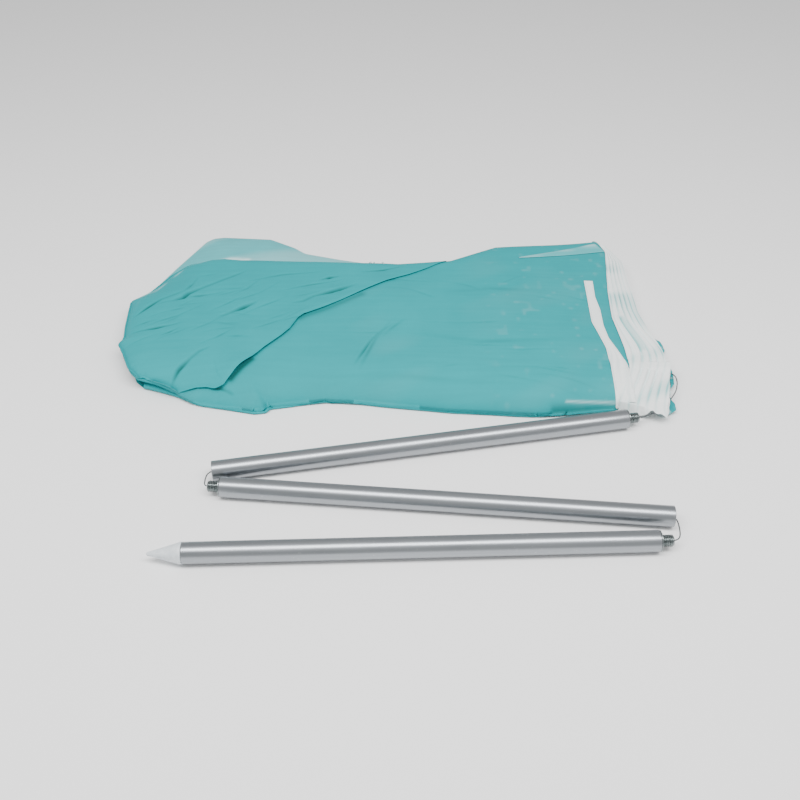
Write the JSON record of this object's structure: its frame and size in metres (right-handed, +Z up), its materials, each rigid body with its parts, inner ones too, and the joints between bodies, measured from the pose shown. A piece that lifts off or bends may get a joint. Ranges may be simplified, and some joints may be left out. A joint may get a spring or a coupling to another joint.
{
  "type": "feather flag with sectional pole",
  "caption": "Packed feather flag: folded teal cloth with a pale sleeve header and a sectional aluminium ground pole, its screw-together sections linked by steel cable.",
  "frame": {"origin": "on the floor, in the middle of the packed flag's and pole's footprint", "axes": "+X to the right along the pole sections, +Y from the pole towards the cloth's back edge, +Z up"},
  "size_m": [0.6953, 0.6504, 0.045],
  "materials": {
    "teal_cloth": "thin matt polyester, slightly sheer",
    "thin_teal_cloth": "one layer of thin polyester, sheer",
    "white_cloth": "white woven tape",
    "sheer_white_cloth": "sheer white polyester, gathered in pleats",
    "tube_aluminium": "satin anodised",
    "thread_steel": "turned, zinc plated",
    "spring_steel": "drawn wire",
    "cable_steel": "stranded wire rope",
    "clear_plastic": "milky translucent moulding",
    "dark_plastic": "moulded"
  },
  "bodies": {
    "flag_pack": {"flag_lower_folds": "teal_cloth", "flag_upper_folds": "teal_cloth", "flag_back_layer": "thin_teal_cloth", "flag_edge_fold": "teal_cloth", "flag_corner": "teal_cloth", "hem_band": "white_cloth", "sleeve_header": "sheer_white_cloth", "sleeve_mouth": "sheer_white_cloth", "top_tube": "tube_aluminium", "top_socket": "thread_steel", "top_cap": "dark_plastic", "upper_cable_anchor": "cable_steel"},
    "upper_link": {"upper_cable": "cable_steel", "upper_spring": "spring_steel", "upper_cable_stop": "cable_steel", "middle_cable_anchor": "cable_steel"},
    "upper_section": {"upper_tube": "tube_aluminium", "upper_stud": "thread_steel", "upper_socket": "thread_steel"},
    "middle_link": {"middle_cable": "cable_steel", "middle_spring": "spring_steel", "middle_cable_stop": "cable_steel", "lower_cable_anchor": "cable_steel"},
    "middle_section": {"middle_tube": "tube_aluminium", "middle_stud": "thread_steel", "middle_socket": "thread_steel"},
    "lower_link": {"lower_cable": "cable_steel", "lower_spring": "spring_steel", "lower_cable_stop": "cable_steel"},
    "lower_section": {"lower_tube": "tube_aluminium", "lower_stud": "thread_steel", "ground_tip": "clear_plastic"}
  },
  "joints": [
    {"name": "upper_fold", "type": "hinge", "parent": "flag_pack", "child": "upper_link", "pos_m": [0.30924, -0.06466, 0.011], "axis": [0, 0, 1], "range_deg": [0, 169.36], "deforming": ["upper_cable"]},
    {"name": "upper_spin", "type": "hinge", "parent": "upper_link", "child": "upper_section", "pos_m": [-0.1911, -0.1986, 0.011], "axis": [0.9828, 0.1846, 0], "continuous": true},
    {"name": "middle_fold", "type": "hinge", "parent": "upper_link", "child": "middle_link", "pos_m": [-0.19187, -0.21018, 0.011], "axis": [0, 0, -1], "range_deg": [-2, 164.14], "deforming": ["middle_cable"]},
    {"name": "middle_spin", "type": "hinge", "parent": "middle_link", "child": "middle_section", "pos_m": [0.2902, -0.2655, 0.011], "axis": [-0.9959, 0.091, 0], "continuous": true},
    {"name": "lower_fold", "type": "hinge", "parent": "middle_link", "child": "lower_link", "pos_m": [0.28699, -0.28184, 0.011], "axis": [0, 0, 1], "range_deg": [-5, 172.86], "deforming": ["lower_cable"]},
    {"name": "lower_spin", "type": "hinge", "parent": "lower_link", "child": "lower_section", "pos_m": [-0.2019, -0.3148, 0.011], "axis": [0.9994, 0.0335, 0], "continuous": true}
  ]
}
